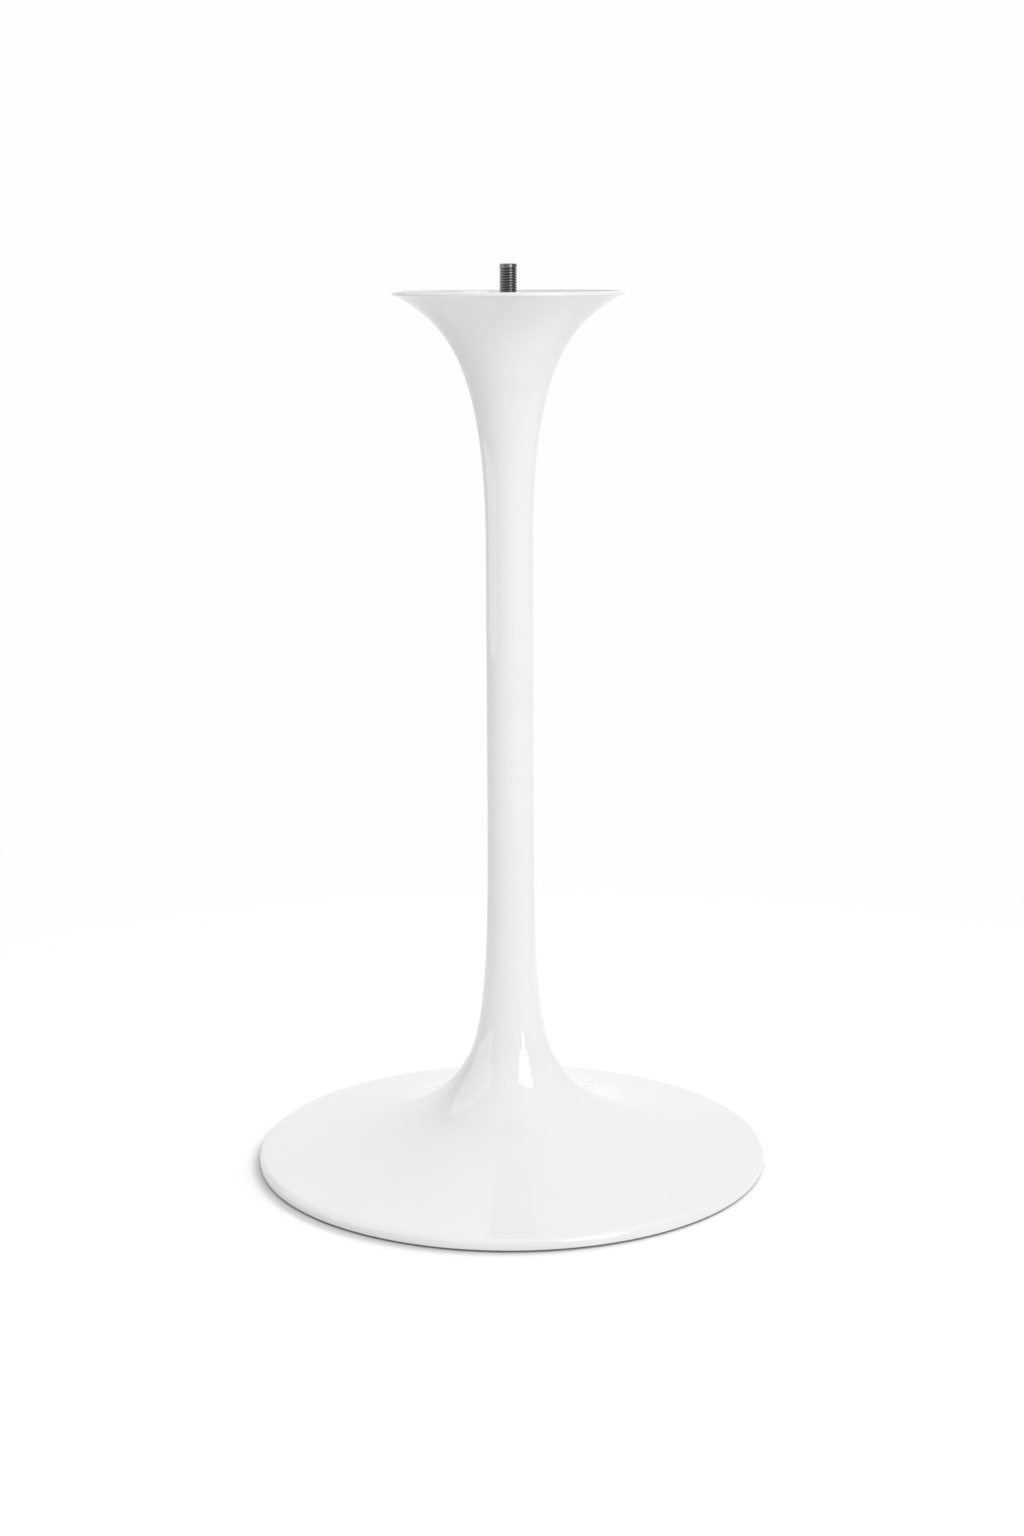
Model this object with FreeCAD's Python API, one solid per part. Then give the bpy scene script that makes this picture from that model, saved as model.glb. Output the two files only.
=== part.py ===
import FreeCAD, Part
import math
import os

# Tulip table base: a one-piece cast pedestal, a steel stud for the table top and glides under the rim.
# Millimetres. Z is up along the axis and the floor is Z = 0.
# The heights below are taken from the rim's lower edge.

# Foot and rim
FOOT_R = 210.0              # outer radius of the foot
RIM_CHAMFER = 0.7           # chamfer of the rim's lower edge
RIM_WALL_H = 3.75           # top of the rim's upright wall
SHOULDER_R = 5.2            # rounding between that wall and the top of the foot
FOOT_SLOPE = 7.5            # degrees, slope of the foot where it meets the shoulder
FOOT_SWEEP = 129.7          # length over which the foot runs out towards that slope
RIM_LAND_W = 16.0           # width of the flat ring under the rim

# Instep, where the foot turns up into the stem
INSTEP_R = 37.0
INSTEP_H = 83.3
INSTEP_SLOPE = 59.6         # degrees
INSTEP_PULL_OUT = 31.9      # length of the curve's pull towards the foot
INSTEP_PULL_UP = 38.5       # length of the curve's pull towards the stem

# Stem, straight between the two flares
STEM_R = 18.9
STEM_BASE_H = 335.0
STEM_BASE_PULL = 112.0      # length over which the lower flare leaves the stem
STEM_TOP_H = 510.0
STEM_TOP_PULL = 143.5       # length over which the upper flare leaves the stem

# Upper flare and lip
LIP_H = 710.0               # height of the face that the table top rests on
LIP_R = 91.5
LIP_CHAMFER = 0.5           # chamfer of the lip's outer edge
LIP_T = 4.35                # depth of the lip, from its face to the end of the flare
LIP_OVERHANG = 4.0          # how far the lip stands out past the end of the flare
LIP_LAND_W = 3.5            # width of the flat face on the lip
FLARE_SLOPE = 28.7          # degrees, slope of the flare where it meets the lip
FLARE_PULL = 44.0           # length of the flare's pull below the lip

# Casting: wall, recessed deck inside the lip, and the boss that holds the stud
WALL_T = 6.5
CORE_FLAT = 2.0             # how far the core's straight tapers may thin that wall
DECK_RECESS = 3.0
DECK_CHAMFER = 1.2          # chamfer in the corner between deck and lip
DECK_T = 6.0
BOSS_R = 17.0
BOSS_L = 22.0               # how far the boss reaches below the deck
BOSS_CHAMFER = 4.0          # chamfer where the boss leaves the deck

# Stud
STUD_R = 7.0
STUD_THREAD_PITCH = 2.0
STUD_PROUD = 21.0           # how far the stud stands above the lip's face
STUD_SEAT_L = 24.0          # length screwed into the boss
STUD_CHAMFER = 1.3

# Glides
GLIDE_COUNT = 4
GLIDE_R = 6.0
GLIDE_PROUD = 1.5           # gap that the glides leave between rim and floor
GLIDE_SEAT_DEPTH = 1.0
GLIDE_FIT = 0.2             # radial clearance of a glide in its seat

# Half-depth of a metric thread, as a share of its pitch: major radius less pitch radius
THREAD_HALF_DEPTH = 0.3248
# How far a cutting tool runs past the face that it leaves
TOOL_RUN_OUT = 1.0

RIM_Z = GLIDE_PROUD
LIP_Z = RIM_Z + LIP_H
DECK_Z = LIP_Z - DECK_RECESS
DECK_UNDER_Z = DECK_Z - DECK_T
BOSS_Z = DECK_UNDER_Z - BOSS_L
STUD_SEATED_R = STUD_R - THREAD_HALF_DEPTH * STUD_THREAD_PITCH
GLIDE_CIRCLE_R = FOOT_R - RIM_LAND_W / 2


def at(radius, height):
    """A point of a profile, in the XZ plane."""
    return FreeCAD.Vector(radius, 0, height)


def along(angle_deg, length):
    """A step of the given length, at an angle above the horizontal."""
    angle = math.radians(angle_deg)
    return at(length * math.cos(angle), length * math.sin(angle))


def line(start, end):
    return Part.LineSegment(start, end).toShape()


def curve(start, start_pull, end_pull, end):
    """A cubic curve that leaves start along start_pull and comes in to end from end + end_pull."""
    bezier = Part.BezierCurve()
    bezier.setPoles([start, start + start_pull, end + end_pull, end])
    return bezier.toShape()


def tapers(edges):
    """The same outline as a chain of straight tapers."""
    chain = []
    for edge in edges:
        points = edge.discretize(Deflection=CORE_FLAT)
        chain += [line(start, end) for start, end in zip(points, points[1:])]
    return chain


def revolve(edges):
    face = Part.Face(Part.Wire(edges))
    return face.revolve(at(0, 0), FreeCAD.Vector(0, 0, 1), 360)


def shoulder_point(angle_deg):
    """The point of the foot's shoulder that faces outward at the given angle above the horizontal."""
    return at(FOOT_R - SHOULDER_R, RIM_Z + RIM_WALL_H) + along(angle_deg, SHOULDER_R)


def trumpet(inset):
    """The long outline from the foot's shoulder to the lip, set in from the outside by inset."""
    foot_end = shoulder_point(90 - FOOT_SLOPE) - along(90 - FOOT_SLOPE, inset)
    instep = at(INSTEP_R, RIM_Z + INSTEP_H) - along(90 - INSTEP_SLOPE, inset)
    stem_base = at(STEM_R - inset, RIM_Z + STEM_BASE_H)
    stem_top = at(STEM_R - inset, RIM_Z + STEM_TOP_H)
    flare_end = at(LIP_R - LIP_OVERHANG, LIP_Z - LIP_T) + along(90 + FLARE_SLOPE, inset)
    foot_pull = along(180 - FOOT_SLOPE, FOOT_SWEEP)
    foot = curve(foot_end, foot_pull, along(-INSTEP_SLOPE, INSTEP_PULL_OUT), instep)
    ankle_pull = along(180 - INSTEP_SLOPE, INSTEP_PULL_UP)
    ankle = curve(instep, ankle_pull, at(0, -STEM_BASE_PULL), stem_base)
    stem = line(stem_base, stem_top)
    flare = curve(stem_top, at(0, STEM_TOP_PULL), along(180 + FLARE_SLOPE, FLARE_PULL), flare_end)
    return [foot, ankle, stem, flare], foot_end, flare_end


def casting_outside():
    """The whole outside of the pedestal as a solid."""
    long_edges, foot_end, flare_end = trumpet(0)
    under_edge = at(FOOT_R - RIM_CHAMFER, RIM_Z)
    wall_foot = at(FOOT_R, RIM_Z + RIM_CHAMFER)
    wall_top = shoulder_point(0)
    lip_side = at(LIP_R, LIP_Z - LIP_CHAMFER)
    lip_face = at(LIP_R - LIP_CHAMFER, LIP_Z)
    rim = [
        line(at(0, RIM_Z), under_edge),
        line(under_edge, wall_foot),
        line(wall_foot, wall_top),
        Part.Arc(wall_top, shoulder_point(45), foot_end).toShape(),
    ]
    lip = [
        line(flare_end, lip_side),
        line(lip_side, lip_face),
        line(lip_face, at(0, LIP_Z)),
        line(at(0, LIP_Z), at(0, RIM_Z)),
    ]
    return revolve(rim + long_edges + lip)


def boss():
    """The boss under the deck, with a chamfer where it leaves it."""
    straight = Part.makeCylinder(BOSS_R, BOSS_L, at(0, BOSS_Z))
    root = Part.makeCone(BOSS_R, BOSS_R + BOSS_CHAMFER, BOSS_CHAMFER, at(0, DECK_UNDER_Z - BOSS_CHAMFER))
    return straight.fuse(root)


def hollow():
    """The inside of the casting: open under the foot, closed by the deck, with the boss standing in it."""
    long_edges, foot_end, flare_end = trumpet(WALL_T)
    below = RIM_Z - TOOL_RUN_OUT
    inside = revolve([line(at(foot_end.x, below), foot_end)] + tapers(long_edges) + [
        line(flare_end, at(0, flare_end.z)),
        line(at(0, flare_end.z), at(0, below)),
        line(at(0, below), at(foot_end.x, below)),
    ])
    within_land = Part.makeCylinder(FOOT_R - RIM_LAND_W, DECK_UNDER_Z - below, at(0, below))
    return inside.common(within_land).cut(boss())


def deck_recess():
    """The shallow dish inside the lip, with a chamfer in its corner."""
    radius = LIP_R - LIP_CHAMFER - LIP_LAND_W
    corner = Part.makeCone(radius - DECK_CHAMFER, radius, DECK_CHAMFER, at(0, DECK_Z))
    wall_h = DECK_RECESS - DECK_CHAMFER + TOOL_RUN_OUT
    return corner.fuse(Part.makeCylinder(radius, wall_h, at(0, DECK_Z + DECK_CHAMFER)))


def glide_places():
    for index in range(GLIDE_COUNT):
        angle = 2 * math.pi * (index + 0.5) / GLIDE_COUNT
        yield FreeCAD.Vector(GLIDE_CIRCLE_R * math.cos(angle), GLIDE_CIRCLE_R * math.sin(angle), 0)


def make_pedestal():
    hole_l = DECK_Z - BOSS_Z + 2 * TOOL_RUN_OUT
    stud_hole = Part.makeCylinder(STUD_SEATED_R, hole_l, at(0, BOSS_Z - TOOL_RUN_OUT))
    pedestal = casting_outside().cut(hollow()).cut(deck_recess()).cut(stud_hole)
    for place in glide_places():
        seat_base = place + at(0, RIM_Z - TOOL_RUN_OUT)
        seat = Part.makeCylinder(GLIDE_R + GLIDE_FIT, GLIDE_SEAT_DEPTH + TOOL_RUN_OUT, seat_base)
        pedestal = pedestal.cut(seat)
    return pedestal


def make_stud():
    """The stud: its free end at full thread diameter, its seated end where the two threads meet."""
    seated = Part.makeCylinder(STUD_SEATED_R, STUD_SEAT_L, at(0, DECK_Z - STUD_SEAT_L))
    free_l = DECK_RECESS + STUD_PROUD - STUD_CHAMFER
    free = Part.makeCylinder(STUD_R, free_l, at(0, DECK_Z))
    tip = Part.makeCone(STUD_R, STUD_R - STUD_CHAMFER, STUD_CHAMFER, at(0, DECK_Z + free_l))
    return seated.fuse(free).fuse(tip).removeSplitter()


def make_glides():
    glide = Part.makeCylinder(GLIDE_R, GLIDE_PROUD + GLIDE_SEAT_DEPTH)
    return Part.Compound([glide.translated(place) for place in glide_places()])


os.makedirs("parts", exist_ok=True)
make_pedestal().exportStep("parts/pedestal.step")
make_stud().exportStep("parts/threaded_stud.step")
make_glides().exportStep("parts/floor_glides.step")
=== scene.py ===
import logging
import math
from dataclasses import dataclass
from enum import Enum
from typing import Any, Optional, Union

import bpy
from mathutils import Matrix, Vector


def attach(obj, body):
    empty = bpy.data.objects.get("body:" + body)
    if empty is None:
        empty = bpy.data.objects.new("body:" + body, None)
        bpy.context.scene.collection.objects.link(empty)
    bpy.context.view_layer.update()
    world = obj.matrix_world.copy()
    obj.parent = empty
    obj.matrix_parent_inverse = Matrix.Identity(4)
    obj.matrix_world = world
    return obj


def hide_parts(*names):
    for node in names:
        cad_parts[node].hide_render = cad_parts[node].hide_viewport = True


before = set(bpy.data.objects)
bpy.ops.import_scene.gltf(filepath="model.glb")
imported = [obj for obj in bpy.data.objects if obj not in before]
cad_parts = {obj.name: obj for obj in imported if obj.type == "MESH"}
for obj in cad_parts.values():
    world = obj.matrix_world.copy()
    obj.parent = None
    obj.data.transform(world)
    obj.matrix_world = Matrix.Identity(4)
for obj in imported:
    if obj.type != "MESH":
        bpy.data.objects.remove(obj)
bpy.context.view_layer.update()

LOG = logging.getLogger("tulip_base")
MM = 0.001
BODY = "root"
# Sides of the round glides and of their seats
ROUND_SIDES = 48
# How far a cutter runs past the face that it leaves, in millimetres
CUT_RUN_OUT = 1.0

Point = tuple[float, float]
Span = tuple[float, float]
Vertex = tuple[float, float, float]
Face = tuple[int, ...]
Colour = tuple[float, float, float]
Socket = bpy.types.NodeSocket
Input = Union[float, Socket]


class Zone(Enum):
    """Where on the casting a face is: enamelled outside, oversprayed hollow, or the bare ring under the rim,
    painted near-black as shade for the gap.
    """

    OUTSIDE = 0
    HOLLOW = 1
    LAND = 2


class LampUse(Enum):
    """What a softbox gives: light on matt surfaces, a glint in the gloss, or light on the floor alone."""

    CAST = "cast"
    GLINT = "glint"
    FLOOR = "floor"


def step(angle_deg: float, length: float) -> Point:
    """A step in a profile.

    Args:
        angle_deg: angle above the horizontal, in degrees.
        length: length of the step.

    Returns:
        The step as (outward, up).
    """
    angle = math.radians(angle_deg)
    return (length * math.cos(angle), length * math.sin(angle))


def plus(point: Point, move: Point) -> Point:
    """Moves a profile point.

    Args:
        point: the point, as (radius, height).
        move: the step to add.

    Returns:
        The moved point.
    """
    return (point[0] + move[0], point[1] + move[1])


def straight(start: Point, end: Point, count: int) -> list[Point]:
    """Points along a straight stretch.

    Args:
        start: first point.
        end: last point.
        count: number of steps between them.

    Returns:
        count + 1 points, with both ends.
    """
    return [
        (start[0] + (end[0] - start[0]) * i / count, start[1] + (end[1] - start[1]) * i / count)
        for i in range(count + 1)
    ]


def sweep(start: Point, pull: Point, push: Point, end: Point, count: int) -> list[Point]:
    """Points along a cubic curve.

    Args:
        start: first point.
        pull: step from start along which the curve leaves.
        push: step from end from which the curve comes in.
        end: last point.
        count: number of steps along the curve.

    Returns:
        count + 1 points, with both ends.
    """
    poles = (start, plus(start, pull), plus(end, push), end)
    points = []
    for i in range(count + 1):
        t = i / count
        shares = ((1 - t) ** 3, 3 * (1 - t) ** 2 * t, 3 * (1 - t) * t * t, t ** 3)
        points.append(tuple(sum(s * p[axis] for s, p in zip(shares, poles)) for axis in (0, 1)))
    return points


def arc(centre: Point, radius: float, first_deg: float, last_deg: float, count: int) -> list[Point]:
    """Points along a circular stretch.

    Args:
        centre: centre of the circle.
        radius: its radius.
        first_deg: angle of the first point, in degrees.
        last_deg: angle of the last point, in degrees.
        count: number of steps between them.

    Returns:
        count + 1 points, with both ends.
    """
    turn = (last_deg - first_deg) / count
    return [plus(centre, step(first_deg + turn * i, radius)) for i in range(count + 1)]


def mesh_object(name: str, verts: list[Vertex], faces: list[Face], indices: Optional[list[int]] = None,
                sharp_deg: float = 32.0) -> bpy.types.Object:
    """Makes a smooth-shaded mesh object.

    Args:
        name: name of the new object and its mesh.
        verts: vertices, in metres.
        faces: faces as tuples of vertex numbers.
        indices: material index of each face, if it has more than one material.
        sharp_deg: edges that turn by more than this stay sharp.

    Returns:
        The new object, linked to the scene.
    """
    mesh = bpy.data.meshes.new(name)
    mesh.from_pydata(verts, [], faces)
    if indices:
        mesh.polygons.foreach_set("material_index", indices)
    mesh.shade_smooth()
    mesh.set_sharp_from_angle(angle=math.radians(sharp_deg))
    mesh.update()
    made = bpy.data.objects.new(name, mesh)
    bpy.context.scene.collection.objects.link(made)
    return made


def lathe(name: str, stretches: list[tuple[Zone, list[Point]]], segments: int) -> bpy.types.Object:
    """Turns a closed profile about the Z axis.

    Args:
        name: name of the new object.
        stretches: the profile in order, each stretch with its zone; heights and radii in millimetres.
        segments: number of steps around the axis.

    Returns:
        The new mesh object, whose faces have the zone's number as their material index.
    """
    ring: list[Point] = []
    zones: list[int] = []
    for zone, points in stretches:
        for point in points[:-1]:
            ring.append(point)
            zones.append(zone.value)
    rows = len(ring)
    verts = []
    for i in range(segments):
        angle = 2 * math.pi * i / segments
        cos, sin = math.cos(angle) * MM, math.sin(angle) * MM
        verts.extend((r * cos, r * sin, z * MM) for r, z in ring)
    faces, indices = [], []
    for i in range(segments):
        here, there = i * rows, (i + 1) % segments * rows
        for j in range(rows):
            k = (j + 1) % rows
            faces.append((here + j, there + j, there + k, here + k))
            indices.append(zones[j])
    return mesh_object(name, verts, faces, indices)


def tube_faces(levels: int, sides: int) -> list[Face]:
    """Faces of an upright stack of rings, closed at both ends.

    Args:
        levels: number of rings, from the bottom up.
        sides: number of vertices in a ring.

    Returns:
        The bottom, the wall and the top, as tuples of vertex numbers.
    """
    faces = [tuple(range(sides))[::-1]]
    for level in range(levels - 1):
        here, there = level * sides, (level + 1) * sides
        for i in range(sides):
            j = (i + 1) % sides
            faces.append((here + i, here + j, there + j, there + i))
    faces.append(tuple(range((levels - 1) * sides, levels * sides)))
    return faces


def drums(places: list[Point], low: float, high: float, radius: float,
          chamfer: float = 0.0) -> tuple[list[Vertex], list[Face]]:
    """Short upright cylinders, with a chamfer round their lower faces.

    Args:
        places: their centres, in millimetres.
        low: height of the lower faces.
        high: height of the upper faces.
        radius: their radius.
        chamfer: size of the chamfer; none if 0.

    Returns:
        Their vertices, in metres, and their faces.
    """
    levels = [(radius - chamfer, low)] if chamfer else []
    levels += [(radius, low + chamfer), (radius, high)]
    shell = tube_faces(len(levels), ROUND_SIDES)
    verts, faces = [], []
    for x, y in places:
        faces += [tuple(len(verts) + number for number in face) for face in shell]
        for r, z in levels:
            for i in range(ROUND_SIDES):
                angle = 2 * math.pi * i / ROUND_SIDES
                verts.append(((x + r * math.cos(angle)) * MM, (y + r * math.sin(angle)) * MM, z * MM))
    return verts, faces


class Graph:
    """A node tree that is put together node by node."""

    def __init__(self, tree: bpy.types.NodeTree) -> None:
        """Empties the tree.

        Args:
            tree: the tree to build in.
        """
        self.tree = tree
        tree.nodes.clear()

    def node(self, kind: str, settings: Optional[dict[str, Any]] = None, **sockets: Any) -> bpy.types.Node:
        """Adds a node.

        Args:
            kind: the node's type name.
            settings: values of the node's own properties.
            **sockets: inputs by name with _ for a space, or by number after a _, each as a value or
                as an output to link.

        Returns:
            The new node.
        """
        made = self.tree.nodes.new(kind)
        for key, value in (settings or {}).items():
            setattr(made, key, value)
        for key, value in sockets.items():
            socket = made.inputs[int(key[1:]) if key[1:].isdigit() else key.replace("_", " ")]
            if isinstance(value, Socket):
                self.tree.links.new(value, socket)
            else:
                socket.default_value = value
        return made

    def place(self) -> Socket:
        """Gives the object's own coordinates."""
        return self.node("ShaderNodeTexCoord").outputs["Object"]

    def stretch(self, vector: Socket, factors: Vertex) -> Socket:
        """Scales a vector by a factor along each axis."""
        return self.node("ShaderNodeVectorMath", {"operation": "MULTIPLY"}, _0=vector, _1=factors).outputs[0]

    def length(self, vector: Socket) -> Socket:
        """Gives the length of a vector."""
        return self.node("ShaderNodeVectorMath", {"operation": "LENGTH"}, _0=vector).outputs["Value"]

    def math(self, operation: str, first: Input, second: Input = 0.0, third: Input = 0.0) -> Socket:
        """Adds a math node.

        Args:
            operation: the operation's name.
            first: first value or socket.
            second: second value or socket.
            third: third value or socket.

        Returns:
            The node's result.
        """
        made = self.node("ShaderNodeMath", {"operation": operation}, _0=first, _1=second, _2=third)
        return made.outputs[0]

    def mix(self, share: Socket, first: Input, second: Input) -> Socket:
        """Mixes two values.

        Args:
            share: socket with the share of the second value.
            first: first value or socket.
            second: second value or socket.

        Returns:
            The mixed value.
        """
        made = self.node("ShaderNodeMix", {"data_type": "FLOAT"}, _0=share, _2=first, _3=second)
        return made.outputs[0]

    def blend(self, share: Socket, first: Colour, second: Colour) -> Socket:
        """Mixes two colours.

        Args:
            share: socket with the share of the second colour.
            first: first colour.
            second: second colour.

        Returns:
            The mixed colour.
        """
        made = self.node("ShaderNodeMix", {"data_type": "RGBA"}, _0=share, _6=(*first, 1), _7=(*second, 1))
        return made.outputs[2]

    def noise(self, scale: float, detail: float, roughness: float = 0.5,
              vector: Optional[Socket] = None) -> Socket:
        """Adds a noise field in the object's own coordinates.

        Args:
            scale: cells to a metre.
            detail: octaves of finer noise.
            roughness: weight of the finer octaves.
            vector: coordinates to use instead.

        Returns:
            The noise, from 0 to 1.
        """
        made = self.node("ShaderNodeTexNoise", None, Vector=vector or self.place(), Scale=scale,
                         Detail=detail, Roughness=roughness)
        return made.outputs["Fac"]

    def ramp(self, value: Socket, span: Span, result: Span = (0.0, 1.0)) -> Socket:
        """Maps a range of values onto another, smoothly and with ends held.

        Args:
            value: the socket to map.
            span: the values at the two ends.
            result: the results at those ends.

        Returns:
            The mapped value.
        """
        made = self.node("ShaderNodeMapRange", {"interpolation_type": "SMOOTHSTEP"}, Value=value,
                         From_Min=span[0], From_Max=span[1], To_Min=result[0], To_Max=result[1])
        return made.outputs["Result"]

    def bump(self, height: Socket, depth_mm: float, below: Optional[Socket] = None) -> Socket:
        """Adds relief to the shading normal.

        Args:
            height: socket with the relief, from 0 to 1.
            depth_mm: depth of the relief from 0 to 1, in millimetres.
            below: normal that this relief is added to.

        Returns:
            The bumped normal.
        """
        made = self.node("ShaderNodeBump", None, Strength=1.0, Distance=depth_mm * MM, Height=height)
        if below is not None:
            self.tree.links.new(below, made.inputs["Normal"])
        return made.outputs["Normal"]

    def principled(self, **sockets: Any) -> None:
        """Ends a material in a principled shader.

        Args:
            **sockets: the shader's inputs, as node takes them.
        """
        shader = self.node("ShaderNodeBsdfPrincipled", None, **sockets)
        self.node("ShaderNodeOutputMaterial", None, Surface=shader.outputs[0])


def new_material(name: str) -> tuple[bpy.types.Material, Graph]:
    """Makes an empty material.

    Args:
        name: name of the material.

    Returns:
        The material and the graph of its nodes.
    """
    made = bpy.data.materials.new(name)
    made.use_nodes = True
    return made, Graph(made.node_tree)


@dataclass(frozen=True)
class Enamel:
    """Gloss enamel on cast metal: white, clear on top, with the slight waviness of a sprayed coat."""

    colour: Colour = (0.757, 0.757, 0.759)
    thin: Colour = (0.742, 0.742, 0.745)
    cloud_scale: float = 9.0
    cloud_span: Span = (0.32, 0.68)
    under_roughness: float = 0.6
    coat_ior: float = 1.52
    gloss_roughness: float = 0.022
    dust_gain: float = 1.8
    dust_scale: float = 240.0
    dust_span: Span = (0.35, 0.75)
    wave_scale: float = 58.0
    wave_mm: float = 0.010
    peel_scale: float = 620.0
    peel_mm: float = 0.0004

    def make(self) -> bpy.types.Material:
        """Builds the finish.

        Returns:
            The material.
        """
        material, graph = new_material("white_enamel")
        cloud = graph.ramp(graph.noise(self.cloud_scale, detail=3.0), self.cloud_span)
        wave = graph.bump(graph.noise(self.wave_scale, detail=2.0, roughness=0.45), self.wave_mm)
        coat_normal = graph.bump(graph.noise(self.peel_scale, detail=2.0), self.peel_mm, wave)
        dusty = (self.gloss_roughness, self.gloss_roughness * self.dust_gain)
        dust = graph.ramp(graph.noise(self.dust_scale, detail=4.0, roughness=0.6), self.dust_span, dusty)
        graph.principled(
            Base_Color=graph.blend(cloud, self.colour, self.thin), Roughness=self.under_roughness,
            Specular_IOR_Level=0.0, Coat_Weight=1.0, Coat_Roughness=dust, Coat_IOR=self.coat_ior,
            Coat_Normal=coat_normal)
        return material


@dataclass(frozen=True)
class CastSkin:
    """Cast skin without enamel: by default, with the thin grey-white overspray of the hollow.

    The overspray thins out with height, over the spray span in metres.
    """

    name: str = "cast_skin"
    colour: Colour = (0.60, 0.60, 0.585)
    bare: Colour = (0.36, 0.36, 0.352)
    roughness: float = 0.74
    specular: float = 0.35
    spray_span: Span = (0.02, 0.20)
    unreached_share: float = 0.75
    patch_scale: float = 85.0
    patch_span: Span = (0.38, 0.72)
    patch_share: float = 0.42
    grain_scale: float = 900.0
    grain_mm: float = 0.35
    lump_scale: float = 70.0
    lump_gain: float = 1.6

    def make(self) -> bpy.types.Material:
        """Builds the finish.

        Returns:
            The material.
        """
        material, graph = new_material(self.name)
        height = graph.node("ShaderNodeSeparateXYZ", None, Vector=graph.place()).outputs["Z"]
        unreached = graph.ramp(height, self.spray_span, (0.0, self.unreached_share))
        cloud = graph.noise(self.patch_scale, detail=5.0, roughness=0.62)
        patch = graph.ramp(cloud, self.patch_span, (0.0, self.patch_share))
        share = graph.math("MAXIMUM", unreached, patch)
        grain = graph.bump(graph.noise(self.grain_scale, detail=4.0, roughness=0.65), self.grain_mm)
        lumps = graph.bump(graph.noise(self.lump_scale, detail=2.0), self.grain_mm * self.lump_gain, grain)
        graph.principled(
            Base_Color=graph.blend(share, self.colour, self.bare), Roughness=self.roughness,
            Specular_IOR_Level=self.specular, Normal=lumps)
        return material


@dataclass(frozen=True)
class OiledSteel:
    """Dark oiled steel with a rolled thread: crests brighter from wear and as painted highlight, roots
    darker from oil and as painted shade.
    """

    # Crest and root colours: wear and oil, and also painted highlight on the crests and painted shade in the
    # roots.
    crest: Colour = (0.18, 0.177, 0.172)
    root: Colour = (0.10, 0.098, 0.095)
    root_r_mm: float = 6.0
    crest_r_mm: float = 6.95
    oil_weight: float = 0.6
    oil_roughness: float = 0.10
    oil_scale: float = 420.0
    oil_span: Span = (0.35, 0.70)
    oil_shares: Span = (0.55, 1.0)
    scuff_scale: float = 2600.0
    scuff_stretch: Vertex = (1.0, 1.0, 0.25)
    scuff_span: Span = (0.3, 0.7)
    scuff_roughness: Span = (0.22, 0.34)
    scuff_mm: float = 0.006

    def make(self) -> bpy.types.Material:
        """Builds the finish.

        Returns:
            The material.
        """
        material, graph = new_material("dark_steel")
        place = graph.place()
        radius = graph.length(graph.stretch(place, (1.0, 1.0, 0.0)))
        # Brighter towards the crests: wear, and painted highlight on the crests with painted shade in the
        # roots.
        crest_wear_and_highlight = graph.ramp(radius, (self.root_r_mm * MM, self.crest_r_mm * MM))
        film = graph.noise(self.oil_scale, detail=4.0, roughness=0.6)
        share = graph.math("MULTIPLY", crest_wear_and_highlight, graph.ramp(film, self.oil_span, self.oil_shares))
        long_grain = graph.stretch(place, self.scuff_stretch)
        scuff = graph.noise(self.scuff_scale, detail=3.0, roughness=0.6, vector=long_grain)
        graph.principled(
            Base_Color=graph.blend(share, self.root, self.crest), Metallic=1.0,
            Roughness=graph.ramp(scuff, self.scuff_span, self.scuff_roughness),
            Coat_Weight=self.oil_weight, Coat_Roughness=self.oil_roughness,
            Normal=graph.bump(scuff, self.scuff_mm))
        return material


@dataclass(frozen=True)
class Nylon:
    """Matt grey nylon of the glides, scuffed by floors."""

    colour: Colour = (0.115, 0.115, 0.112)
    scuffed: Colour = (0.20, 0.20, 0.195)
    roughness: float = 0.62
    scuff_scale: float = 800.0
    scuff_span: Span = (0.45, 0.75)
    scuff_mm: float = 0.02

    def make(self) -> bpy.types.Material:
        """Builds the finish.

        Returns:
            The material.
        """
        material, graph = new_material("glide_nylon")
        scuff = graph.noise(self.scuff_scale, detail=4.0, roughness=0.65)
        share = graph.ramp(scuff, self.scuff_span)
        graph.principled(
            Base_Color=graph.blend(share, self.colour, self.scuffed), Roughness=self.roughness,
            Normal=graph.bump(scuff, self.scuff_mm))
        return material


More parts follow.
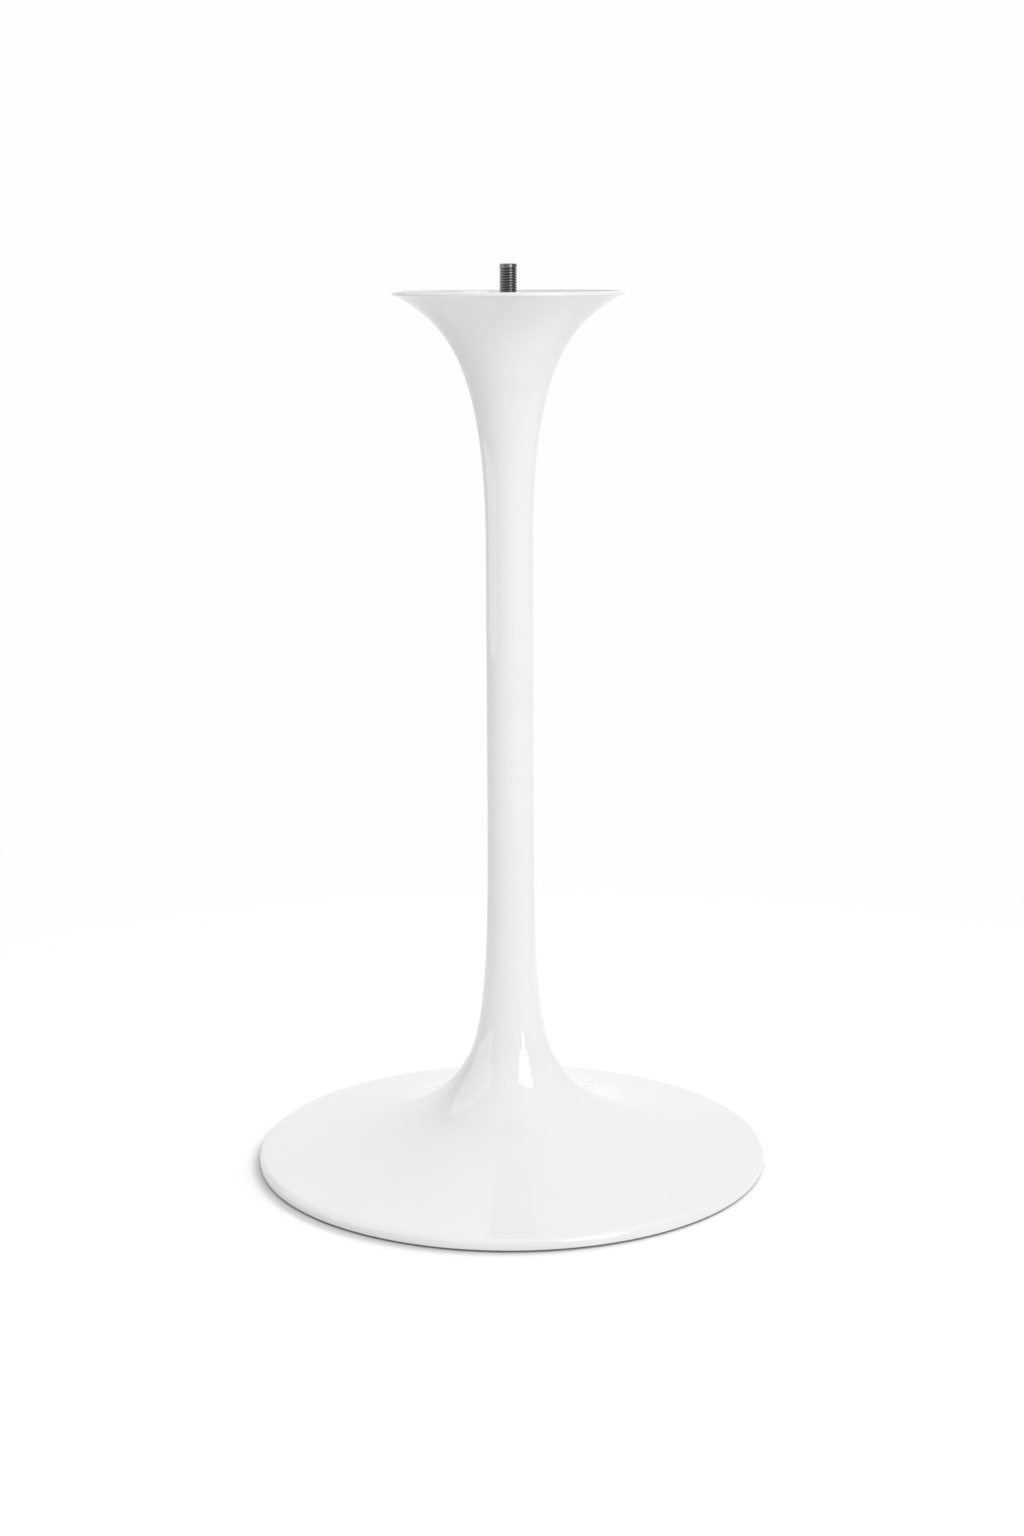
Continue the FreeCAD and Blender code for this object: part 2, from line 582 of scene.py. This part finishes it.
@dataclass
class Pedestal:
    """The one-piece casting: foot, instep, stem, flare, lip, recessed deck and hollow, in millimetres.

    The rows are the steps along each stretch of its profile.
    """

    foot_r: float = 210.0
    rim_z: float = 1.5
    rim_round: float = 1.0
    rim_wall_h: float = 3.75
    shoulder_r: float = 5.2
    foot_slope: float = 7.5
    foot_sweep: float = 129.7
    rim_land_w: float = 16.0
    instep_r: float = 37.0
    instep_h: float = 83.3
    instep_slope: float = 59.6
    instep_pull_out: float = 31.9
    instep_pull_up: float = 38.5
    stem_r: float = 18.9
    stem_base_h: float = 335.0
    stem_base_pull: float = 112.0
    stem_top_h: float = 510.0
    stem_top_pull: float = 143.5
    lip_z: float = 711.5
    lip_r: float = 91.5
    lip_round: float = 1.6
    lip_depth: float = 4.35
    lip_overhang: float = 4.0
    land_inner_r: float = 87.5
    flare_slope: float = 28.7
    flare_pull: float = 44.0
    wall: float = 5.8
    ceiling_fall: float = 0.13
    ceiling_margin: float = 0.5
    deck_z: float = 708.5
    deck_corner: float = 1.4
    deck_under_z: float = 702.5
    deck_under_out: float = 0.3
    deck_under_margin: float = 0.2
    boss_r: float = 17.0
    boss_z: float = 680.5
    boss_fillet: float = 4.0
    hole_r: float = 6.35
    seat_r: float = 6.2
    seat_depth: float = 1.0
    segments: int = 288
    long_rows: tuple[int, ...] = (60, 44, 10, 52)
    hollow_rows: tuple[int, ...] = (24, 18, 4, 20)
    shoulder_rows: int = 22
    lip_rows: int = 14
    rim_rows: int = 8
    small_rows: int = 6
    deck_under_rows: int = 4
    wall_rows: int = 3
    edge_rows: int = 2
    finish: Enamel = Enamel()
    skin: CastSkin = CastSkin()
    # The ring under the rim gets a near-black finish: painted shade that darkens the gap between the rim and
    # the floor.
    land_painted_shade_skin: CastSkin = CastSkin(
        name="bare_land_painted_shade", colour=(0.085, 0.085, 0.083), bare=(0.15, 0.148, 0.142), grain_mm=0.12)

    def trumpet(self, inset: float, rows: tuple[int, ...]) -> list[list[Point]]:
        """The long outline from the foot's shoulder to the lip.

        Args:
            inset: distance that the outline is set in from the outside.
            rows: number of steps along the foot, the ankle, the stem and the flare.

        Returns:
            The foot, the ankle, the stem and the flare as lists of points, from the foot up.
        """
        shoulder = (self.foot_r - self.shoulder_r, self.rim_z + self.rim_wall_h)
        foot_end = plus(shoulder, step(90 - self.foot_slope, self.shoulder_r - inset))
        instep = plus((self.instep_r, self.rim_z + self.instep_h), step(90 - self.instep_slope, -inset))
        base = (self.stem_r - inset, self.rim_z + self.stem_base_h)
        top = (self.stem_r - inset, self.rim_z + self.stem_top_h)
        flare_end = plus((self.lip_r - self.lip_overhang, self.lip_z - self.lip_depth),
                         step(90 + self.flare_slope, inset))
        return [
            sweep(foot_end, step(180 - self.foot_slope, self.foot_sweep),
                  step(-self.instep_slope, self.instep_pull_out), instep, rows[0]),
            sweep(instep, step(180 - self.instep_slope, self.instep_pull_up),
                  (0, -self.stem_base_pull), base, rows[1]),
            straight(base, top, rows[2]),
            sweep(top, (0, self.stem_top_pull), step(180 + self.flare_slope, self.flare_pull),
                  flare_end, rows[3]),
        ]

    def outside(self) -> list[list[Point]]:
        """The profile that is enamelled.

        Returns:
            Stretches from the rim's lower edge, over the foot and the lip, to the stud's hole.
        """
        foot, ankle, stem, flare = self.trumpet(0, self.long_rows)
        rim_centre = (self.foot_r - self.rim_round, self.rim_z + self.rim_round)
        rim = arc(rim_centre, self.rim_round, -90, 0, self.rim_rows)
        shoulder_centre = (self.foot_r - self.shoulder_r, self.rim_z + self.rim_wall_h)
        shoulder = arc(shoulder_centre, self.shoulder_r, 0, 90 - self.foot_slope, self.shoulder_rows)
        lip_centre = (self.lip_r - self.lip_round, self.lip_z - self.lip_round)
        back = (flare[-1][0] - lip_centre[0], flare[-1][1] - lip_centre[1])
        tangent = math.atan2(back[1], back[0]) + math.acos(self.lip_round / math.hypot(*back))
        lip = arc(lip_centre, self.lip_round, math.degrees(tangent), 90, self.lip_rows)
        corner_centre = (self.land_inner_r - self.deck_corner, self.deck_z + self.deck_corner)
        corner = arc(corner_centre, self.deck_corner, 0, -90, self.small_rows)
        edge = (self.land_inner_r, self.lip_z)
        return [
            rim,
            straight(rim[-1], shoulder[0], self.wall_rows),
            shoulder, foot, ankle, stem, flare,
            straight(flare[-1], lip[0], self.small_rows),
            lip,
            straight(lip[-1], edge, self.wall_rows),
            straight(edge, corner[0], self.edge_rows),
            corner,
            straight(corner[-1], (self.hole_r, self.deck_z), self.small_rows),
        ]

    def hollow(self) -> list[list[Point]]:
        """The profile of the inside, which isn't enamelled.

        Returns:
            Stretches from the stud's hole, round the boss and down the inside, to the rim's underside.
        """
        foot, ankle, stem, flare = (points[::-1] for points in self.trumpet(self.wall, self.hollow_rows))
        low = [point for point in flare if point[1] < self.deck_under_z - self.deck_under_margin]
        corner = (low[0][0] + self.deck_under_out, self.deck_under_z)
        fillet_centre = (self.boss_r + self.boss_fillet, self.deck_under_z - self.boss_fillet)
        fillet = arc(fillet_centre, self.boss_fillet, 180, 90, self.small_rows)
        hole_end, boss_end = (self.hole_r, self.boss_z), (self.boss_r, self.boss_z)
        land_r = self.foot_r - self.rim_land_w
        ceiling = [point for point in foot if point[0] < land_r - self.ceiling_margin]
        land_top = (land_r, ceiling[-1][1] - (land_r - ceiling[-1][0]) * self.ceiling_fall)
        return [
            straight((self.hole_r, self.deck_z), hole_end, self.wall_rows),
            straight(hole_end, boss_end, self.edge_rows),
            straight(boss_end, fillet[0], self.wall_rows),
            fillet,
            straight(fillet[-1], corner, self.deck_under_rows),
            [corner, low[0]],
            low, stem, ankle, ceiling,
            [ceiling[-1], land_top],
            straight(land_top, (land_r, self.rim_z), self.wall_rows),
        ]

    def build(self, places: list[Point]) -> bpy.types.Object:
        """Turns the casting and sinks the glides' seats into its rim.

        Args:
            places: centres of the glides, in millimetres.

        Returns:
            The casting.
        """
        stretches = [(Zone.OUTSIDE, points) for points in self.outside()]
        stretches += [(Zone.HOLLOW, points) for points in self.hollow()]
        land = straight(stretches[-1][1][-1], stretches[0][1][0], self.wall_rows)
        stretches.append((Zone.LAND, land))
        body = lathe("pedestal_enamel", stretches, self.segments)
        self.dress(body)
        self.sink_seats(body, places)
        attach(body, BODY)
        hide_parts("pedestal")
        return body

    def sink_seats(self, body: bpy.types.Object, places: list[Point]) -> None:
        """Cuts the shallow round seats of the glides.

        Args:
            body: the casting.
            places: centres of the seats, in millimetres.
        """
        seats = drums(places, self.rim_z - CUT_RUN_OUT, self.rim_z + self.seat_depth, self.seat_r)
        cutter = mesh_object("seat_cutter", *seats)
        cut = body.modifiers.new("seats", "BOOLEAN")
        cut.operation, cut.solver, cut.object = "DIFFERENCE", "EXACT", cutter
        graph = bpy.context.evaluated_depsgraph_get()
        seated = bpy.data.meshes.new_from_object(body.evaluated_get(graph))
        body.modifiers.clear()
        body.data = seated
        bpy.data.objects.remove(cutter)

    def dress(self, body: bpy.types.Object) -> None:
        """Gives the casting its finishes, with the painted shade of the ring under the rim, in the order of
        the zones.

        Args:
            body: the casting.
        """
        for finish in (self.finish, self.skin, self.land_painted_shade_skin):
            body.data.materials.append(finish.make())


@dataclass
class ThreadedStud:
    """The steel stud: a seated shank, a rolled right-hand thread and a plain rounded end, in millimetres.

    The shares are parts of the pitch, and the root's rounding is a part of the thread's depth.
    """

    radius: float = 7.0
    pitch: float = 2.0
    thread_depth: float = 0.95
    crest_share: float = 0.16
    flank_share: float = 0.26
    root_round: float = 0.08
    seat_z: float = 684.5
    deck_z: float = 708.5
    top_z: float = 732.5
    seated_r: float = 6.35
    run_out: float = 0.8
    end_plain: float = 2.3
    end_r: float = 6.75
    end_round: float = 1.1
    end_angles: tuple[float, ...] = (82.0, 90.0)
    rows_per_turn: int = 18
    sides: int = 96
    sharp_deg: float = 50.0
    finish: OiledSteel = OiledSteel()

    def thread_r(self, turn: float) -> float:
        """Radius of the thread.

        Args:
            turn: place along the pitch, in turns from a crest.

        Returns:
            The radius, with a flat crest, straight flanks and a rounded root.
        """
        off = abs((turn + 0.5) % 1.0 - 0.5)
        share = min(max((off - self.crest_share) / self.flank_share, 0.0), 1.0)
        eased = share - self.root_round * math.sin(2 * math.pi * share) * share
        return self.radius - self.thread_depth * eased

    def radius_at(self, height: float, turn: float) -> float:
        """Radius of the free end of the stud.

        Args:
            height: height, in millimetres.
            turn: angle about the axis, in turns.

        Returns:
            The radius there: thread, or the plain rounded end, or the run-out between the two.
        """
        from_top = self.top_z - height
        thread = self.thread_r(height / self.pitch - turn)
        ease = min(max((from_top - self.end_plain) / self.run_out, 0.0), 1.0)
        radius = self.end_r + (thread - self.end_r) * ease
        if from_top < self.end_round:
            into = self.end_round - from_top
            radius -= self.end_round - math.sqrt(max(self.end_round ** 2 - into ** 2, 0.0))
        return radius

    def build(self) -> bpy.types.Object:
        """Rolls the thread.

        Returns:
            The stud.
        """
        free = self.top_z - self.deck_z
        count = round(free / (self.pitch / self.rows_per_turn))
        heights = {self.deck_z + free * i / count for i in range(count)}
        heights |= {self.top_z - self.end_round * (1 - math.sin(math.radians(a))) for a in self.end_angles}
        rings = [[(self.seated_r, z)] * self.sides for z in (self.seat_z, self.deck_z)]
        turns = [i / self.sides for i in range(self.sides)]
        rings += [[(self.radius_at(z, turn), z) for turn in turns] for z in sorted(heights)]
        verts = []
        for ring in rings:
            for turn, (r, z) in zip(turns, ring):
                angle = 2 * math.pi * turn
                verts.append((r * math.cos(angle) * MM, r * math.sin(angle) * MM, z * MM))
        faces = tube_faces(len(rings), self.sides)
        stud = mesh_object("stud_thread", verts, faces, sharp_deg=self.sharp_deg)
        self.dress(stud)
        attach(stud, BODY)
        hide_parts("threaded_stud")
        return stud

    def dress(self, stud: bpy.types.Object) -> None:
        """Gives the stud its finish.

        Args:
            stud: the stud.
        """
        stud.data.materials.append(self.finish.make())


@dataclass
class FloorGlides:
    """The nylon pads under the rim, in millimetres."""

    count: int = 4
    circle_r: float = 202.0
    radius: float = 6.0
    height: float = 2.5
    chamfer: float = 0.35
    finish: Nylon = Nylon()

    def places(self) -> list[Point]:
        """Where the pads sit.

        Returns:
            The centre of each pad.
        """
        return [step(360 * (i + 0.5) / self.count, self.circle_r) for i in range(self.count)]

    def build(self) -> bpy.types.Object:
        """Makes all the pads as one piece.

        Returns:
            The pads.
        """
        shapes = drums(self.places(), 0.0, self.height, self.radius, self.chamfer)
        pads = mesh_object("floor_glide_pads", *shapes)
        self.dress(pads)
        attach(pads, BODY)
        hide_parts("floor_glides")
        return pads

    def dress(self, pads: bpy.types.Object) -> None:
        """Gives the pads their finish.

        Args:
            pads: the pads.
        """
        pads.data.materials.append(self.finish.make())


@dataclass(frozen=True)
class Softbox:
    """A lamp that looks at the object, placed as seen from its foot, in degrees and metres."""

    name: str
    azimuth: float
    elevation: float
    distance: float
    width: float
    height: float
    radiance: float
    use: LampUse
    aim_z: float = 0.09
    spread: float = 180.0

    def build(self) -> bpy.types.Object:
        """Hangs the lamp.

        Returns:
            The lamp.
        """
        light = bpy.data.lights.new(self.name, "AREA")
        light.shape = "RECTANGLE"
        light.size, light.size_y = self.width, self.height
        light.spread = math.radians(self.spread)
        light.energy = self.radiance * self.width * self.height * math.pi
        lamp = bpy.data.objects.new(self.name, light)
        bpy.context.scene.collection.objects.link(lamp)
        turn, rise = math.radians(self.azimuth), math.radians(self.elevation)
        out = math.cos(rise)
        away = Vector((math.sin(turn) * out, -math.cos(turn) * out, math.sin(rise)))
        lamp.location = Vector((0, 0, self.aim_z)) + away * self.distance
        lamp.rotation_mode = "QUATERNION"
        lamp.rotation_quaternion = away.to_track_quat("Z", "Y")
        lamp.visible_camera = False
        lamp.visible_diffuse = self.use is not LampUse.GLINT
        lamp.visible_glossy = self.use is LampUse.GLINT
        return lamp


@dataclass(frozen=True)
class Room:
    """Brightness of the surroundings: the light that they cast, and what the gloss mirrors of them.

    The mirrored levels stand 30 degrees apart, from 150 degrees left, past the camera's side, to the back.
    The seam, the horizon and the overhead span are measured on the axes of a direction of length 1.
    """

    left: float = 0.56
    right: float = 1.10
    front: float = 1.22
    back: float = 1.26
    top: float = 1.09
    below: float = 0.10
    seam: float = 0.15
    mirror_high: tuple[float, ...] = (
        1.15, 0.05, 0.35, 0.55, 0.90, 0.70, 0.40, 0.20, 0.30, 0.53, 0.82, 1.08)
    mirror_low: tuple[float, ...] = (
        0.86, 0.80, 0.80, 0.80, 0.76, 0.66, 0.58, 0.56, 0.58, 0.64, 0.80, 1.10)
    mirror_top: float = 1.05
    horizon: Span = (0.02, 0.16)
    overhead: Span = (0.60, 0.90)
    headroom: float = 4.0

    def paint_cast(self, graph: Graph, split: bpy.types.Node) -> Socket:
        """Works out the brightness that lights matt surfaces.

        Args:
            graph: graph of the world's nodes.
            split: node that gives the direction as X, Y and Z.

        Returns:
            The brightness.
        """
        sides = (("X", self.right, self.left), ("Y", self.back, self.front), ("Z", self.top, self.below))
        total: Input = 0.0
        for axis, ahead, behind in sides:
            along = split.outputs[axis]
            level = graph.ramp(along, (-self.seam, self.seam), (behind, ahead))
            share = graph.math("MULTIPLY", along, along)
            total = graph.math("MULTIPLY_ADD", share, level, total)
        return total

    def paint_band(self, graph: Graph, turn: Socket, levels: tuple[float, ...]) -> Socket:
        """Works out the brightness of one band of the room, all round.

        The stops of a colour ramp can't pass 1, so they are divided by the headroom.

        Args:
            graph: graph of the world's nodes.
            turn: direction about the axis, from 0 to 1, with the camera's side at one half.
            levels: the band's levels.

        Returns:
            The brightness.
        """
        made = graph.node("ShaderNodeValToRGB", None, Fac=turn)
        stops = made.color_ramp.elements
        shades = [(level / self.headroom,) * 3 + (1.0,) for level in levels]
        stops[0].color = stops[1].color = shades[-1]
        stops[0].position, stops[1].position = 0.0, 1.0
        for i, shade in enumerate(shades[:-1]):
            stops.new((i + 1) / len(shades)).color = shade
        return graph.math("MULTIPLY", made.outputs["Color"], self.headroom)

    def paint_mirrored(self, graph: Graph, split: bpy.types.Node) -> Socket:
        """Works out the brightness that shows in glossy surfaces.

        Args:
            graph: graph of the world's nodes.
            split: node that gives the direction as X, Y and Z.

        Returns:
            The brightness.
        """
        x, y, z = (split.outputs[axis] for axis in "XYZ")
        angle = graph.math("ARCTAN2", x, graph.math("MULTIPLY", y, -1.0))
        turn = graph.math("MULTIPLY_ADD", angle, 0.5 / math.pi, 0.5)
        low = self.paint_band(graph, turn, self.mirror_low)
        high = self.paint_band(graph, turn, self.mirror_high)
        band = graph.mix(graph.ramp(z, self.horizon), low, high)
        return graph.mix(graph.ramp(z, self.overhead), band, self.mirror_top)


@dataclass
class Studio:
    """White floor and backdrop, the room around, softboxes and the camera, in metres and degrees."""

    room: Room = Room()
    white: float = 0.988
    floor_albedo: float = 0.655
    floor_bounce: float = 0.875
    floor_mirrored: float = 1.01
    floor_fade: Span = (0.55, 1.00)
    floor_edge: Span = (0.76, 0.80)
    floor_hole: Span = (0.204, 0.208)
    floor_reach: float = 1.1
    floor_sides: int = 96
    grain_scale: float = 30.0
    grain_share: float = 0.99
    camera_x: float = 0.0014
    camera_distance: float = 1.9683
    camera_height: float = 0.7347
    camera_pitch: float = 11.587
    camera_roll: float = -0.24
    camera_lens: float = 58.003
    camera_sensor: float = 36.0
    camera_clip: Span = (0.05, 50.0)
    softboxes: tuple[Softbox, ...] = (
        Softbox("key_right", azimuth=37.5, elevation=30.0, distance=1.70,
                width=1.07, height=1.04, radiance=1.25, use=LampUse.CAST),
        Softbox("key_glint", azimuth=37.0, elevation=30.0, distance=1.70,
                width=0.78, height=1.04, radiance=4.4, use=LampUse.GLINT),
        Softbox("key_tail", azimuth=39.0, elevation=8.5, distance=1.70,
                width=0.15, height=0.30, radiance=0.35, use=LampUse.GLINT, spread=18.0),
        Softbox("panel_left", azimuth=-91.0, elevation=25.0, distance=1.90,
                width=2.10, height=1.77, radiance=1.15, use=LampUse.GLINT),
        Softbox("floor_light", azimuth=132.0, elevation=42.0, distance=60.0,
                width=69.0, height=17.0, radiance=8.2, use=LampUse.FLOOR),
        Softbox("under_floor", azimuth=0.0, elevation=-90.0, distance=1.20,
                width=1.00, height=1.00, radiance=1.6, use=LampUse.CAST),
    )

    def build(self) -> None:
        """Sets up everything round the object."""
        self.make_world()
        floor = self.make_floor()
        floor_only = bpy.data.collections.new("floor_only")
        floor_only.objects.link(floor)
        for softbox in self.softboxes:
            lamp = softbox.build()
            if softbox.use is LampUse.FLOOR:
                lamp.light_linking.receiver_collection = floor_only
        self.make_camera()
        bpy.context.scene.view_settings.view_transform = "Standard"

    def make_world(self) -> None:
        """Paints the surroundings: white to the camera, and the room to everything else."""
        world = bpy.data.worlds.new("studio")
        world.use_nodes = True
        world.cycles.sampling_method = "NONE"
        bpy.context.scene.world = world
        graph = Graph(world.node_tree)
        path = graph.node("ShaderNodeLightPath")
        look = graph.node("ShaderNodeTexCoord").outputs["Generated"]
        split = graph.node("ShaderNodeSeparateXYZ", None, Vector=look)
        cast = self.room.paint_cast(graph, split)
        mirrored = self.room.paint_mirrored(graph, split)
        level = graph.mix(path.outputs["Is Glossy Ray"], cast, mirrored)
        level = graph.mix(path.outputs["Is Camera Ray"], level, self.white)
        paint = graph.node("ShaderNodeBackground", None, Color=(1.0, 1.0, 1.0, 1.0), Strength=level)
        graph.node("ShaderNodeOutputWorld", None, Surface=paint.outputs[0])

    def make_floor(self) -> bpy.types.Object:
        """Lays a white floor that fades into the white surroundings and can't be seen from below.

        Under the hollow foot it lets light through, so that the hollow shows in a view from below.

        Returns:
            The floor.
        """
        reach = self.floor_fade[1] * self.floor_reach
        angles = [2 * math.pi * i / self.floor_sides for i in range(self.floor_sides)]
        verts = [(reach * math.cos(angle), reach * math.sin(angle), 0.0) for angle in angles]
        floor = mesh_object("studio_floor", verts, [tuple(range(self.floor_sides))])
        material, graph = new_material("studio_floor")
        away = graph.length(graph.place())
        path = graph.node("ShaderNodeLightPath")
        seen, mirrored = path.outputs["Is Camera Ray"], path.outputs["Is Glossy Ray"]
        faded = graph.mix(seen, graph.ramp(away, self.floor_edge), graph.ramp(away, self.floor_fade))
        unseen = graph.math("SUBTRACT", 1.0, seen)
        hole = graph.math("MULTIPLY", graph.ramp(away, self.floor_hole, (1.0, 0.0)), unseen)
        below = graph.node("ShaderNodeNewGeometry").outputs["Backfacing"]
        clear = graph.math("MAXIMUM", graph.math("MAXIMUM", faded, hole), below)
        grain = graph.blend(graph.noise(self.grain_scale, detail=3.0), (self.floor_albedo,) * 3,
                            (self.floor_albedo * self.grain_share,) * 3)
        share = graph.mix(mirrored, graph.mix(seen, self.floor_bounce, 1.0), self.floor_mirrored)
        white = graph.node("ShaderNodeVectorMath", {"operation": "SCALE"}, _0=grain, Scale=share)
        paint = graph.node("ShaderNodeBsdfDiffuse", None, Color=white.outputs[0])
        gap = graph.node("ShaderNodeBsdfTransparent")
        mixed = graph.node("ShaderNodeMixShader", None, _0=clear, _1=paint.outputs[0], _2=gap.outputs[0])
        graph.node("ShaderNodeOutputMaterial", None, Surface=mixed.outputs[0])
        floor.data.materials.append(material)
        return floor

    def make_camera(self) -> None:
        """Puts the camera where the photograph was taken from."""
        data = bpy.data.cameras.new("camera")
        data.lens, data.sensor_width, data.sensor_fit = self.camera_lens, self.camera_sensor, "AUTO"
        data.clip_start, data.clip_end = self.camera_clip
        camera = bpy.data.objects.new("camera", data)
        bpy.context.scene.collection.objects.link(camera)
        place = Matrix.Translation((self.camera_x, -self.camera_distance, self.camera_height))
        aim = Matrix.Rotation(math.radians(90 - self.camera_pitch), 4, "X")
        roll = Matrix.Rotation(math.radians(self.camera_roll), 4, "Z")
        camera.matrix_world = place @ aim @ roll
        bpy.context.scene.camera = camera


def main() -> None:
    """Builds the pieces in order, then the studio."""
    logging.basicConfig(level=logging.INFO, format="%(name)s: %(message)s")
    glides = FloorGlides()
    pieces = [Pedestal().build(glides.places()), ThreadedStud().build(), glides.build()]
    for piece in pieces:
        LOG.info("%s: %d faces", piece.name, len(piece.data.polygons))
    Studio().build()


if __name__ == "__main__":
    main()
